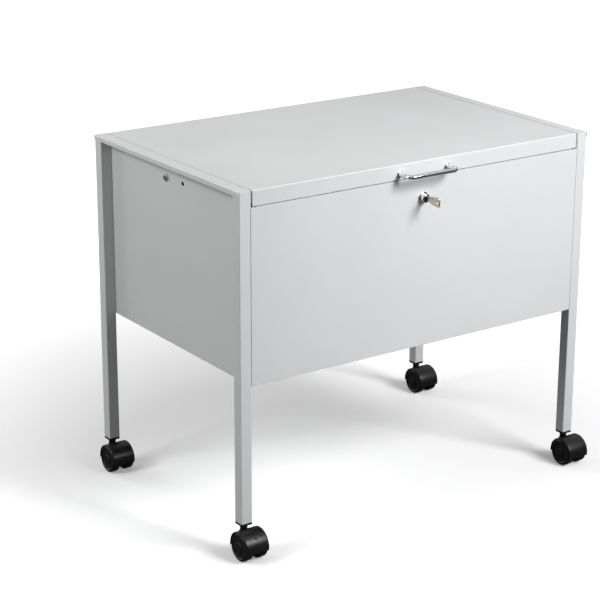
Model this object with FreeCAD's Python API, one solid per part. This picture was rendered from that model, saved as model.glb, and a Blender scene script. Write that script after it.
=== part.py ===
import FreeCAD, Part
import math
import os
from FreeCAD import Vector

# Lidded sheet-metal trolley on four square legs and twin-wheel castors, in millimetres.
# +X is to the right, +Y to the back, +Z up. The origin is on the floor, under the middle of the whole
# trolley with its key and hinges.

# Overall sizes
frame_width = 700.0  # over the legs
frame_depth = 446.0  # over the legs
leg_height = 545.0  # leg bottom to the top of the lid
box_height = 314.0  # top of the lid to the underside of the box

# Sheet metal
sheet = 1.0
bend_radius = 1.4  # outside of the folds that show
foot_bend_radius = 0.7  # outside of the fold under the front and rear panels
wall_flange = 15.0  # in-turned edges of the side panels and the bottom of the front and rear panels
top_return = 11.0  # in-turned top edge of the front and rear panels
return_notch = 11.0  # corner left out of that edge at each end
flange_notch = 20.0  # left out of the side panels' upright flanges, below the lid's flange
post_gap = 0.6  # end of the front or rear panel to the post
panel_gap = 0.5  # between folded edges that pass each other
corner_relief = 1.6  # round relief at the bottom corners of the front panel
tray_edge = 10.0  # upturned edge of the bottom panel
tray_gap = 0.3

# Legs
leg_size = 20.0
leg_wall = 1.5
leg_corner = 1.5
cap_lip = 8.0  # downturned edge of the side panel outside the leg tops
cap_gap = 0.2  # leg to that edge

# Lid
lid_flange = 25.0  # front and rear flanges
lid_side_flange = 20.0
lid_return = 10.0  # in-turned bottom edge of the front flange
lid_return_notch = 12.0
lid_side_gap = 2.4  # lid to the side panels
lid_seam = 1.5  # lid flange to the panel under it, the height of the buffers

# Buffers
buffer_radius = 4.0
buffer_from_end = 80.0

# Leg screws
leg_screw_radius = 3.0
leg_screw_length = 12.0
leg_screw_drop = 60.0  # upper screws below the lid's top
leg_screw_rise = 64.0  # lower screws above the underside of the box
button_head_radius = 5.25
button_head_height = 3.0
hex_socket_across = 4.0
hex_socket_depth = 1.8
head_rounding = 0.5  # share of a domed head's height that is rounded

# Bottom screws
bottom_screw_radius = 2.0
bottom_screw_length = 8.0
bottom_screw_head_radius = 4.0
bottom_screw_from_end = 30.0
bottom_screw_inset = 5.0  # from the inside of the bottom panel's edge

# Clearances
hole_clearance = 0.05  # screw in its hole
press_clearance = 0.01  # pin held by its hole
running_clearance = 0.06  # pin that turns in its hole
swing_gap = 0.3  # moving faces that pass each other

# Handle
handle_spacing = 96.0
handle_bar_radius = 4.0
handle_reach = 28.0  # lid to the middle of the bar
handle_bend = 9.0
handle_drop = 16.0  # below the lid's top
handle_collar_radius = 5.6
handle_collar = 1.5
handle_screw_radius = 2.0
handle_screw_grip = 8.0  # length inside the handle
small_head_radius = 3.6
small_head_height = 2.4

# Lock
lock_drop = 61.0  # below the lid's top
rosette_radius = 10.0
rosette_thickness = 2.5
rosette_round = 1.5
lock_head_radius = 7.3
lock_head_reach = 9.5
lock_head_round = 1.0
lock_body_radius = 7.9
lock_body_length = 18.0  # behind the panel
plug_radius = 5.2
plug_proud = 1.0
plug_round = 0.5
lock_nut_across = 21.0
lock_nut_thickness = 3.0
cam_thickness = 2.0
cam_width = 12.0
cam_length = 30.0  # plug axis to tip
cam_boss = 6.0  # square end of the plug
boss_root = 1.0  # length of the square end inside the plug
cam_screw_radius = 2.0
cam_screw_hole = 8.0  # depth from the plug's end
cam_screw_length = 7.0
cam_screw_head_radius = 4.5
keeper_thickness = 1.5
keeper_near = 12.0  # side of the keeper nearer the lock's axis
keeper_width = 14.0
keeper_play = 0.7  # cam to keeper when locked
keeper_foot = 14.0
keeper_gap = 0.9  # cam to the keeper's strap
hook_lead = 1.0  # hook in front of the cam

# Key
key_thickness = 2.0
blade_height = 6.5
blade_length = 20.0
keyway_room = 1.0  # past the blade's tip
key_groove_depth = 0.6
key_groove_height = 1.3
key_cut_first = 5.0  # from the blade's root
key_cut_pitch = 3.6
key_cut_width = 1.4
key_cut_depths = (1.6, 1.3, 1.6, 1.3)
key_neck_height = 9.0
key_neck_length = 8.5
bow_length = 24.0
bow_height = 17.0
bow_corner = 5.0
bow_hole_radius = 2.2
keyway_gap = 0.1

# Lid stays
stay_bolt_drop = 33.0
spare_hole_ahead = 50.0  # in front of the bolt
spare_hole_radius = 3.75
stay_bolt_radius = 3.0
stay_bolt_head_radius = 6.0
stay_bolt_head_height = 3.5
stay_bolt_length = 10.0
stay_pivot_drop = 12.0
stay_width = 14.0
stay_thickness = 2.0
stay_slot_gap = 0.2
stay_end_margin = 0.5
stay_floor_gap = 25.0  # end of an arm to the bottom of the box, with the lid shut
stay_nut_across = 10.0
stay_nut_thickness = 3.0
rivet_head_radius = 5.0
rivet_head_height = 0.8
lid_opening = 75.0  # degrees

# Hinges
hinge_from_end = 125.0  # hinge middle to the end of the box
hinge_width = 50.0
hinge_leaf = 1.2
hinge_leaf_height = 20.0
knuckle_radius = 2.5
knuckle_standoff = 0.4  # knuckle to the panels
knuckle_middle = 20.0
knuckle_gap = 0.2
hinge_pin_radius = 1.25
hinge_pin_head_radius = 2.0
hinge_pin_head = 0.8
hinge_screw_radius = 1.5
hinge_screw_length = 5.0
hinge_screw_head_radius = 3.0
hinge_screw_head_height = 1.5
hinge_screw_spacing = 30.0
hinge_screw_up = 12.0  # from the hinge axis

# Castors
wheel_radius = 23.0
wheel_width = 14.5
wheel_round = 2.5
wheel_dish_inner = 8.0
wheel_dish_outer = 18.0
wheel_dish_depth = 2.0
wheel_wall = 2.5  # outside the end of the axle hole
hood_gap = 1.0  # wheel to the inside of the hood
hood_wall = 2.2
hood_rear_angle = -8.0  # where the hood ends behind, from straight back
hood_front_angle = 191.0  # where it ends in front
hood_web = 12.0
web_radius = 17.0  # lower part of the web, round the axle
wheel_side_gap = 0.5
castor_trail = 17.0
axle_radius = 3.0
axle_chamfer = 0.4
hood_edge_round = 1.5
neck_radius = 6.0
neck_rise = 4.3  # top of the hood to the insert
stem_radius = 4.0
stem_round = 1.0
stem_in_leg = 18.0
stem_in_hood = 23.0
insert_flange = 3.5
insert_depth = 22.0
insert_gap = 0.1
dimple_radius = 1.3
dimple_depth = 1.4
dimple_angle = 137.0

# Places that follow from the sizes above
hood_radius = wheel_radius + hood_gap + hood_wall
castor_height = wheel_radius + hood_radius + neck_rise + insert_flange  # floor to leg bottom
top_z = castor_height + leg_height
bottom_z = top_z - box_height
half_width = frame_width / 2
wall_x = half_width - leg_size  # outer face of a side panel, against the legs
inner_x = wall_x - sheet
lid_x = inner_x - lid_side_gap
knuckle_reach = knuckle_standoff + 2 * knuckle_radius
key_reach = lock_head_reach + plug_proud + key_neck_length + bow_length
castor_reach = castor_trail + hood_radius - leg_size / 2
front_reach = max(key_reach, castor_reach, handle_reach + handle_bar_radius)
frame_mid_y = (front_reach - knuckle_reach) / 2
front_y = frame_mid_y - frame_depth / 2
rear_y = frame_mid_y + frame_depth / 2
panel_top_z = top_z - lid_flange - lid_seam
panel_end_x = wall_x - post_gap
lock_z = top_z - lock_drop
lock_back_y = front_y + sheet + lock_body_length
cam_y = lock_back_y + swing_gap
hinge_y = rear_y + knuckle_standoff + knuckle_radius
seam_half = lid_seam / 2
leg_screw_drops = (leg_screw_drop, box_height - leg_screw_rise)
hinge_z = panel_top_z + seam_half
stay_x = lid_x - sheet - swing_gap  # outer face of a stay arm
insert_bottom_z = castor_height - insert_flange
wheel_inner_x = hood_web / 2 + wheel_side_gap
castor_half_width = wheel_inner_x + wheel_width

# The stays: a shut arm hangs from its pivot to just above the bottom of the box
stay_slot_half = stay_bolt_radius + stay_slot_gap
stay_tail = stay_end_margin + stay_width - stay_slot_half  # open lid's bolt to the end of the arm
stay_room = box_height - stay_pivot_drop - 2 * sheet - stay_floor_gap - stay_tail
stay_half_turn = math.radians(lid_opening / 2)
stay_start = (stay_bolt_drop - stay_pivot_drop) * math.cos(stay_half_turn)
stay_reach = (stay_room - stay_start) / (2 * math.sin(stay_half_turn))  # hinge axis to the bolt
stay_bolt_z = top_z - stay_bolt_drop
stay_bolt_y = hinge_y - math.sqrt(stay_reach ** 2 - (hinge_z - stay_bolt_z) ** 2)
spare_hole_y = stay_bolt_y - spare_hole_ahead

x_axis = Vector(1, 0, 0)
y_axis = Vector(0, 1, 0)
z_axis = Vector(0, 0, 1)
overcut = 1.0  # how far cutters run past a face
same_place = 0.01
parallel = 0.999  # cosine between directions that count as one


def block(low, high):
    size = [high[i] - low[i] for i in range(3)]
    return Part.makeBox(size[0], size[1], size[2], Vector(*low))


def rod(radius, length, base, axis):
    return Part.makeCylinder(radius, length, Vector(*base), axis)


def joined(shapes):
    return shapes[0].multiFuse(shapes[1:]).removeSplitter()


def without(shape, cutters):
    return shape.cut(Part.makeCompound(cutters)).removeSplitter()


def moved(shape, x, y, z):
    copy = shape.copy()
    copy.translate(Vector(x, y, z))
    return copy


def mirrored_x(shape):
    return shape.mirror(Vector(0, 0, 0), x_axis)


def both_sides(shape):
    return Part.makeCompound([shape, mirrored_x(shape)])


def rounded(shape, radius, chosen):
    edges = [edge for edge in shape.Edges if chosen(edge)]
    return shape.makeFillet(radius, edges)


def runs_along(edge, axis):
    ends = edge.Vertexes
    if len(ends) < 2:
        return False
    way = ends[1].Point.sub(ends[0].Point)
    return way.Length > 0 and abs(way.normalize().dot(axis)) > parallel


def near(value, target):
    return abs(value - target) < same_place


def hexagon(across, thickness, base, axis):
    ring = []
    for step in range(7):
        angle = math.radians(60 * step)
        radius = across / math.sqrt(3)
        ring.append(Vector(radius * math.cos(angle), radius * math.sin(angle), 0))
    prism = Part.Face(Part.makePolygon(ring)).extrude(Vector(0, 0, thickness))
    turn = FreeCAD.Rotation(z_axis, axis)
    prism.Placement = FreeCAD.Placement(Vector(*base), turn)
    return prism


# ---- legs and side panels

def leg(side_x, at_front):
    low_y = front_y if at_front else rear_y - leg_size
    low = (wall_x, low_y, castor_height)
    high = (half_width, low_y + leg_size, top_z - sheet)
    tube = rounded(block(low, high), leg_corner, lambda edge: runs_along(edge, z_axis))
    bore_low = (low[0] + leg_wall, low[1] + leg_wall, low[2] - overcut)
    bore_high = (high[0] - leg_wall, high[1] - leg_wall, high[2] + overcut)
    cutters = [block(bore_low, bore_high)]
    middle_y = low_y + leg_size / 2
    for drop in leg_screw_drops:
        base = (wall_x - overcut, middle_y, top_z - drop)
        cutters.append(rod(leg_screw_radius + hole_clearance, overcut + leg_size / 2, base, x_axis))
    tube = without(tube, cutters)
    return tube if side_x > 0 else mirrored_x(tube)


def leg_screw_places():
    middles = (front_y + leg_size / 2, rear_y - leg_size / 2)
    return [(y, top_z - drop) for y in middles for drop in leg_screw_drops]


def leg_screws():
    head_x = inner_x - button_head_height
    rounding = button_head_height * head_rounding
    screws = []
    for y, z in leg_screw_places():
        head = rod(button_head_radius, button_head_height, (head_x, y, z), x_axis)
        head = rounded(head, rounding, lambda edge: near(edge.BoundBox.XMax, head_x))
        shank = rod(leg_screw_radius, leg_screw_length, (inner_x, y, z), x_axis)
        socket_base = (head_x - overcut, y, z)
        socket = hexagon(hex_socket_across, hex_socket_depth + overcut, socket_base, x_axis)
        screw = without(joined([head, shank]), [socket])
        screws += [screw, mirrored_x(screw)]
    return Part.makeCompound(screws)


def side_panel(side_x):
    inside_front = front_y + sheet
    inside_rear = rear_y - sheet
    lip_x = half_width + cap_gap
    flange_top = top_z - lid_flange - flange_notch
    flange_x = inner_x - wall_flange + sheet
    wall = block((inner_x, inside_front, bottom_z), (wall_x, inside_rear, top_z))
    cap = block((inner_x, front_y, top_z - sheet), (lip_x + sheet, rear_y, top_z))
    lip = block((lip_x, front_y, top_z - cap_lip), (lip_x + sheet, rear_y, top_z))
    front = block((flange_x, inside_front, bottom_z), (wall_x, inside_front + sheet, flange_top))
    rear = block((flange_x, inside_rear - sheet, bottom_z), (wall_x, inside_rear, flange_top))
    foot = block((flange_x, inside_front, bottom_z), (wall_x, inside_rear, bottom_z + sheet))
    panel = joined([wall, cap, lip, front, rear, foot])

    def shows(edge):
        box = edge.BoundBox
        outer = near(box.ZMin, top_z) and near(box.XMin, lip_x + sheet)
        return runs_along(edge, y_axis) and outer

    panel = rounded(panel, min(bend_radius, cap_lip / 2), shows)
    cutters = []
    for y, z in leg_screw_places():
        cutters.append(rod(leg_screw_radius + hole_clearance, leg_size, (inner_x - overcut, y, z), x_axis))
    bolt_base = (inner_x - overcut, stay_bolt_y, stay_bolt_z)
    cutters.append(rod(stay_bolt_radius + hole_clearance, sheet + 2 * overcut, bolt_base, x_axis))
    spare_base = (inner_x - overcut, spare_hole_y, stay_bolt_z)
    cutters.append(rod(spare_hole_radius, sheet + 2 * overcut, spare_base, x_axis))
    panel = without(panel, cutters)
    return panel if side_x > 0 else mirrored_x(panel)


# ---- front, rear and bottom panels

def end_panel():
    """Front panel's sheet, without its lock hole."""
    return_x = panel_end_x - return_notch
    foot_x = inner_x - wall_flange + sheet - panel_gap
    skin = block((-panel_end_x, front_y, bottom_z), (panel_end_x, front_y + sheet, panel_top_z))
    ledge_high = (return_x, front_y + sheet + top_return, panel_top_z)
    ledge = block((-return_x, front_y, panel_top_z - sheet), ledge_high)
    foot_high = (foot_x, front_y + sheet + wall_flange, bottom_z + sheet)
    foot = block((-foot_x, front_y, bottom_z), foot_high)
    panel = joined([skin, ledge, foot])

    def shows(edge):
        box = edge.BoundBox
        return runs_along(edge, x_axis) and near(box.YMax, front_y) and near(box.ZMax, bottom_z)

    panel = rounded(panel, foot_bend_radius, shows)
    cutters = []
    for end in (-1, 1):
        base = (end * panel_end_x, front_y - overcut, bottom_z)
        cutters.append(rod(corner_relief, sheet + 2 * overcut, base, y_axis))
        base = (end * (panel_end_x - bottom_screw_from_end), bottom_screw_y(), bottom_z - overcut)
        cutters.append(rod(bottom_screw_radius + hole_clearance, sheet + 2 * overcut, base, z_axis))
    return without(panel, cutters)


def bottom_screw_y():
    return front_y + 3 * sheet + tray_gap + bottom_screw_inset


def turned_to_rear(shape):
    return shape.mirror(Vector(0, frame_mid_y, 0), y_axis)


def front_panel():
    base = (0, front_y - overcut, lock_z)
    hole = rod(lock_body_radius + hole_clearance, sheet + 2 * overcut, base, y_axis)
    return without(end_panel(), [hole])


def rear_panel():
    cutters = []
    for x, z in hinge_screw_places(-1):
        base = (x, rear_y - sheet - overcut, z)
        cutters.append(rod(hinge_screw_radius + hole_clearance, sheet + 2 * overcut, base, y_axis))
    return without(turned_to_rear(end_panel()), cutters)


def bottom_panel():
    edge_x = inner_x - tray_gap
    low_y = front_y + 2 * sheet + tray_gap
    high_y = rear_y - 2 * sheet - tray_gap
    floor_z = bottom_z + sheet
    tray = block((-edge_x, low_y, floor_z), (edge_x, high_y, floor_z + tray_edge))
    hollow_low = (-edge_x + sheet, low_y + sheet, floor_z + sheet)
    hollow_high = (edge_x - sheet, high_y - sheet, floor_z + tray_edge + overcut)
    cutters = [block(hollow_low, hollow_high)]
    for x, y in bottom_screw_places():
        base = (x, y, bottom_z - overcut)
        cutters.append(rod(bottom_screw_radius + hole_clearance, 2 * sheet + 2 * overcut, base, z_axis))
    return without(tray, cutters)


def bottom_screw_places():
    x = panel_end_x - bottom_screw_from_end
    front = bottom_screw_y()
    rear = 2 * frame_mid_y - front
    return [(side * x, y) for side in (-1, 1) for y in (front, rear)]


def bottom_screws():
    head_z = bottom_z - small_head_height
    rounding = small_head_height * head_rounding
    screws = []
    for x, y in bottom_screw_places():
        head = rod(bottom_screw_head_radius, small_head_height, (x, y, head_z), z_axis)
        head = rounded(head, rounding, lambda edge: near(edge.BoundBox.ZMax, head_z))
        shank = rod(bottom_screw_radius, bottom_screw_length, (x, y, bottom_z), z_axis)
        screws.append(joined([head, shank]))
    return Part.makeCompound(screws)


# ---- lid, its buffers and its handle

def lid():
    flange_z = top_z - lid_flange
    side_z = top_z - lid_side_flange
    return_x = lid_x - lid_return_notch
    top = block((-lid_x, front_y, top_z - sheet), (lid_x, rear_y, top_z))
    front = block((-lid_x, front_y, flange_z), (lid_x, front_y + sheet, top_z))
    rear = block((-lid_x, rear_y - sheet, flange_z), (lid_x, rear_y, top_z))
    ledge_high = (return_x, front_y + sheet + lid_return, flange_z + sheet)
    ledge = block((-return_x, front_y, flange_z), ledge_high)
    side_low = (lid_x - sheet, front_y + sheet, side_z)
    side = block(side_low, (lid_x, rear_y - sheet, top_z))
    shell = joined([top, front, rear, ledge, side, mirrored_x(side)])

    def shows(edge):
        box = edge.BoundBox
        long_way = runs_along(edge, x_axis) and near(box.ZMin, top_z)
        return long_way and (near(box.YMin, front_y) or near(box.YMin, rear_y))

    shell = rounded(shell, bend_radius, shows)
    cutters = []
    for x in (-handle_spacing / 2, handle_spacing / 2):
        base = (x, front_y - overcut, top_z - handle_drop)
        cutters.append(rod(handle_screw_radius + hole_clearance, sheet + 2 * overcut, base, y_axis))
    for x, z in hinge_screw_places(1):
        base = (x, rear_y - sheet - overcut, z)
        cutters.append(rod(hinge_screw_radius + hole_clearance, sheet + 2 * overcut, base, y_axis))
    pivot = stay_pivot()
    for side_x in (-1, 1):
        base = (side_x * lid_x - sheet - overcut, pivot[0], pivot[1])
        cutters.append(rod(stay_bolt_radius + hole_clearance, 2 * sheet + 2 * overcut, base, x_axis))
    return without(shell, cutters)


def lid_buffers():
    y = front_y + sheet + top_return / 2
    base = (lid_x - buffer_from_end, y, panel_top_z)
    return both_sides(rod(buffer_radius, lid_seam, base, z_axis))


def handle():
    half = handle_spacing / 2
    z = top_z - handle_drop
    bar_y = front_y - handle_reach
    shift = handle_bend * (1 - math.sqrt(0.5))
    corner_y = bar_y + handle_bend
    points = [
        Vector(-half, front_y, z),
        Vector(-half, corner_y, z),
        Vector(-half + handle_bend, bar_y, z),
        Vector(half - handle_bend, bar_y, z),
        Vector(half, corner_y, z),
        Vector(half, front_y, z),
    ]
    left_bend = Part.Arc(points[1], Vector(-half + shift, bar_y + shift, z), points[2])
    right_bend = Part.Arc(points[3], Vector(half - shift, bar_y + shift, z), points[4])
    path = Part.Wire([
        Part.makeLine(points[0], points[1]),
        left_bend.toShape(),
        Part.makeLine(points[2], points[3]),
        right_bend.toShape(),
        Part.makeLine(points[4], points[5]),
    ])
    section = Part.Wire([Part.makeCircle(handle_bar_radius, points[0], y_axis)])
    bar = path.makePipeShell([section], True, False)
    collars = []
    cutters = []
    for x in (-half, half):
        collar = rod(handle_collar_radius, handle_collar, (x, front_y - handle_collar, z), y_axis)
        collars.append(collar)
        hole_base = (x, front_y - handle_screw_grip - overcut, z)
        hole = rod(handle_screw_radius + press_clearance, handle_screw_grip + 2 * overcut, hole_base, y_axis)
        cutters.append(hole)
    return without(joined([bar] + collars), cutters)


def handle_screws():
    z = top_z - handle_drop
    screws = []
    for x in (-handle_spacing / 2, handle_spacing / 2):
        head_y = front_y + sheet
        head = rod(small_head_radius, small_head_height, (x, head_y, z), y_axis)
        back_y = head_y + small_head_height
        head = rounded(head, small_head_height * head_rounding, lambda edge: near(edge.BoundBox.YMin, back_y))
        shank_base = (x, front_y - handle_screw_grip, z)
        shank = rod(handle_screw_radius, handle_screw_grip + sheet, shank_base, y_axis)
        screws.append(joined([head, shank]))
    return Part.makeCompound(screws)


# ---- lock, key and keeper

def lock_housing():
    body_base = (0, front_y - rosette_thickness, lock_z)
    body = rod(lock_body_radius, rosette_thickness + sheet + lock_body_length, body_base, y_axis)
    rosette = rod(rosette_radius, rosette_thickness, body_base, y_axis)
    face_y = front_y - rosette_thickness
    rosette = rounded(rosette, rosette_round, lambda edge: near(edge.BoundBox.YMax, face_y))
    head_y = front_y - lock_head_reach
    head = rod(lock_head_radius, lock_head_reach, (0, head_y, lock_z), y_axis)
    head = rounded(head, lock_head_round, lambda edge: near(edge.BoundBox.YMax, head_y))
    bore_base = (0, head_y - overcut, lock_z)
    bore_length = lock_head_reach + sheet + lock_body_length + 2 * overcut
    bore = rod(plug_radius + running_clearance, bore_length, bore_base, y_axis)
    return without(joined([body, rosette, head]), [bore])


def lock_nut():
    base = (0, front_y + sheet, lock_z)
    nut = hexagon(lock_nut_across, lock_nut_thickness, base, y_axis)
    hole_length = lock_nut_thickness + 2 * sheet + overcut
    hole = rod(lock_body_radius + hole_clearance, hole_length, (0, front_y, lock_z), y_axis)
    return without(nut, [hole])


def plug_front_y():
    return front_y - lock_head_reach - plug_proud


def lock_plug():
    length = lock_back_y - plug_front_y()
    barrel = rod(plug_radius, length, (0, plug_front_y(), lock_z), y_axis)
    barrel = rounded(barrel, plug_round, lambda edge: near(edge.BoundBox.YMax, plug_front_y()))
    half = cam_boss / 2
    end_y = cam_y + cam_thickness - swing_gap / 2
    boss = block((-half, lock_back_y - boss_root, lock_z - half), (half, end_y, lock_z + half))
    way = key_thickness / 2 + keyway_gap
    rise = blade_height / 2 + keyway_gap
    keyway_end = plug_front_y() + blade_length + keyway_room
    keyway = block((-way, plug_front_y() - overcut, lock_z - rise), (way, keyway_end, lock_z + rise))
    hole_base = (0, end_y - cam_screw_hole, lock_z)
    hole = rod(cam_screw_radius + press_clearance, cam_screw_hole + overcut, hole_base, y_axis)
    return without(joined([barrel, boss]), [keyway, hole])


def cam():
    half = cam_width / 2
    tip_z = lock_z + cam_length - half
    disc = rod(half, cam_thickness, (0, cam_y, lock_z), y_axis)
    tip = rod(half, cam_thickness, (0, cam_y, tip_z), y_axis)
    bar = block((-half, cam_y, lock_z), (half, cam_y + cam_thickness, tip_z))
    square = cam_boss / 2 + hole_clearance
    hole_low = (-square, cam_y - overcut, lock_z - square)
    hole = block(hole_low, (square, cam_y + cam_thickness + overcut, lock_z + square))
    return without(joined([disc, bar, tip]), [hole])


def cam_screw():
    head_y = cam_y + cam_thickness
    head = rod(cam_screw_head_radius, small_head_height, (0, head_y, lock_z), y_axis)
    back_y = head_y + small_head_height
    head = rounded(head, small_head_height * head_rounding, lambda edge: near(edge.BoundBox.YMin, back_y))
    shank = rod(cam_screw_radius, cam_screw_length, (0, head_y - cam_screw_length, lock_z), y_axis)
    return joined([head, shank])


def key():
    half = key_thickness / 2
    half_blade = blade_height / 2
    start_y = plug_front_y()
    neck_y = start_y - key_neck_length
    bow_y = neck_y - bow_length
    blade_high = (half, start_y + blade_length, lock_z + half_blade)
    blade = block((-half, start_y, lock_z - half_blade), blade_high)
    neck_low = (-half, neck_y - overcut, lock_z - key_neck_height / 2)
    neck = block(neck_low, (half, start_y, lock_z + key_neck_height / 2))
    bow = block((-half, bow_y, lock_z - bow_height / 2), (half, neck_y, lock_z + bow_height / 2))
    bow = rounded(bow, bow_corner, lambda edge: runs_along(edge, x_axis))
    hole_base = (-half - overcut, bow_y + bow_corner, lock_z)
    hole = rod(bow_hole_radius, key_thickness + 2 * overcut, hole_base, x_axis)
    groove_start = start_y - key_neck_length / 2
    groove_low = (half - key_groove_depth, groove_start, lock_z - key_groove_height / 2)
    groove_high = (half + overcut, start_y + blade_length + overcut, lock_z + key_groove_height / 2)
    cutters = [hole, block(groove_low, groove_high)]
    for step, depth in enumerate(key_cut_depths):
        cut_y = start_y + key_cut_first + key_cut_pitch * step
        low = (-half - overcut, cut_y, lock_z - blade_height)
        high = (half + overcut, cut_y + key_cut_width, lock_z - half_blade + depth)
        cutters.append(block(low, high))
    return without(joined([blade, neck, bow]), cutters)


def lock_keeper():
    """Strap under the lid. Its hook lies under the cam when the cam is turned to the side."""
    strap_y = cam_y + cam_thickness + keeper_gap
    far_x = keeper_near + keeper_width
    hook_top = lock_z - cam_width / 2 - keeper_play
    hook_low = hook_top - keeper_thickness
    ceiling = top_z - sheet
    strap = block((keeper_near, strap_y, hook_low), (far_x, strap_y + keeper_thickness, ceiling))
    hook = block((keeper_near, cam_y - hook_lead, hook_low), (far_x, strap_y + keeper_thickness, hook_top))
    foot = block((keeper_near, strap_y, ceiling - keeper_thickness), (far_x, strap_y + keeper_foot, ceiling))
    return joined([strap, hook, foot])


# ---- lid stays

def stay_pivot():
    """Pivot on the lid, as far from the hinge axis as the bolt: an arm turns half as far as the lid."""
    pivot_z = top_z - stay_pivot_drop
    return (hinge_y - math.sqrt(stay_reach ** 2 - (pivot_z - hinge_z) ** 2), pivot_z)


def stay_chords():
    """Pivot to bolt, with the lid shut and open."""
    pivot = stay_pivot()
    shut = math.hypot(pivot[0] - stay_bolt_y, pivot[1] - stay_bolt_z)
    half_angle = math.asin(shut / 2 / stay_reach) + stay_half_turn
    return (shut, 2 * stay_reach * math.sin(half_angle))


def stay_arm(side_x):
    """Slotted arm, drawn hanging straight down from the pivot and then turned onto the bolt."""
    pivot = stay_pivot()
    shut, opened = stay_chords()
    half = stay_width / 2
    low_x = stay_x - stay_thickness
    slot_start = shut - stay_end_margin
    slot_end = opened + stay_end_margin
    end = slot_end + half - stay_slot_half
    bar = block((low_x, -half, -end), (stay_x, half, 0))
    ends = [rod(half, stay_thickness, (low_x, 0, z), x_axis) for z in (0, -end)]
    length = stay_thickness + 2 * overcut
    slot_low = (low_x - overcut, -stay_slot_half, -slot_end)
    cutters = [block(slot_low, (stay_x + overcut, stay_slot_half, -slot_start))]
    for z in (-slot_start, -slot_end):
        cutters.append(rod(stay_slot_half, length, (low_x - overcut, 0, z), x_axis))
    cutters.append(rod(stay_bolt_radius + running_clearance, length, (low_x - overcut, 0, 0), x_axis))
    arm = without(joined([bar] + ends), cutters)
    lean = math.degrees(math.atan2(stay_bolt_y - pivot[0], pivot[1] - stay_bolt_z))
    arm.rotate(Vector(0, 0, 0), x_axis, lean)
    arm = moved(arm, 0, pivot[0], pivot[1])
    return arm if side_x > 0 else mirrored_x(arm)


def stay_bolts():
    head = rod(stay_bolt_head_radius, stay_bolt_head_height, (wall_x, stay_bolt_y, stay_bolt_z), x_axis)
    head_end = wall_x + stay_bolt_head_height
    rounding = stay_bolt_head_height * head_rounding
    head = rounded(head, rounding, lambda edge: near(edge.BoundBox.XMin, head_end))
    shank_base = (wall_x - stay_bolt_length, stay_bolt_y, stay_bolt_z)
    shank = rod(stay_bolt_radius, stay_bolt_length, shank_base, x_axis)
    socket_base = (head_end + overcut, stay_bolt_y, stay_bolt_z)
    socket = hexagon(hex_socket_across, hex_socket_depth + overcut, socket_base, Vector(-1, 0, 0))
    return both_sides(without(joined([head, shank]), [socket]))


def stay_nuts():
    """On each side a spacer nut against the panel and a nut inside the arm."""
    nuts = []
    spacer = (stay_x + swing_gap, inner_x)
    outer_end = stay_x - stay_thickness - swing_gap
    for low_x, high_x in (spacer, (outer_end - stay_nut_thickness, outer_end)):
        nut = hexagon(stay_nut_across, high_x - low_x, (low_x, stay_bolt_y, stay_bolt_z), x_axis)
        hole_base = (low_x - overcut, stay_bolt_y, stay_bolt_z)
        hole = rod(stay_bolt_radius + press_clearance, high_x - low_x + 2 * overcut, hole_base, x_axis)
        nut = without(nut, [hole])
        nuts += [nut, mirrored_x(nut)]
    return Part.makeCompound(nuts)


def stay_rivets():
    pivot = stay_pivot()
    inner_end = stay_x - stay_thickness - swing_gap
    shank = rod(stay_bolt_radius, lid_x - inner_end, (inner_end, pivot[0], pivot[1]), x_axis)
    outer_head = rod(rivet_head_radius, rivet_head_height, (lid_x, pivot[0], pivot[1]), x_axis)
    inner_base = (inner_end - 2 * rivet_head_height, pivot[0], pivot[1])
    inner_head = rod(rivet_head_radius, 2 * rivet_head_height, inner_base, x_axis)
    return both_sides(joined([shank, outer_head, inner_head]))


# ---- hinges

def hinge_x():
    return panel_end_x - hinge_from_end


def hinge_screw_places(way):
    """way is 1 for the lid's leaves and -1 for the box's."""
    places = []
    for middle in (-hinge_x(), hinge_x()):
        for offset in (-hinge_screw_spacing / 2, hinge_screw_spacing / 2):
            places.append((middle + offset, hinge_z + way * hinge_screw_up))
    return places


def knuckle_spans():
    """Middle knuckle, on the box's leaf, then the two outer ones, on the lid's."""
    half = hinge_width / 2
    middle = knuckle_middle / 2
    return [(-middle, middle)], [(-half, -middle - knuckle_gap), (middle + knuckle_gap, half)]


def hinge_leaf_piece(middle_x, way):
    own, other = knuckle_spans()
    fit = press_clearance
    if way > 0:
        own, other = other, own
        fit = running_clearance
    half = hinge_width / 2
    near_z = hinge_z + way * seam_half
    far_z = hinge_z + way * (seam_half + hinge_leaf_height)
    low_z, high_z = min(near_z, far_z), max(near_z, far_z)
    plate = block((middle_x - half, rear_y, low_z), (middle_x + half, rear_y + hinge_leaf, high_z))

    def at_corner(edge):
        return runs_along(edge, y_axis) and near(edge.BoundBox.ZMin, far_z)

    plate = rounded(plate, hinge_leaf, at_corner)
    cutters = []
    for start, end in other:
        base = (middle_x + start - knuckle_gap, hinge_y, hinge_z)
        length = end - start + 2 * knuckle_gap
        cutters.append(rod(knuckle_radius + swing_gap, length, base, x_axis))
    plate = without(plate, cutters)
    pieces = [plate]
    link_z = hinge_z + way * knuckle_radius
    for start, end in own:
        pieces.append(rod(knuckle_radius, end - start, (middle_x + start, hinge_y, hinge_z), x_axis))
        low = (middle_x + start, rear_y, min(near_z, link_z))
        high = (middle_x + end, hinge_y, max(near_z, link_z))
        pieces.append(block(low, high))
    hole_base = (middle_x - half - overcut, hinge_y, hinge_z)
    holes = [rod(hinge_pin_radius + fit, hinge_width + 2 * overcut, hole_base, x_axis)]
    for x, z in hinge_screw_places(way):
        base = (x, rear_y - overcut, z)
        holes.append(rod(hinge_screw_radius + hole_clearance, hinge_leaf + 2 * overcut, base, y_axis))
    return without(joined(pieces), holes)


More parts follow.
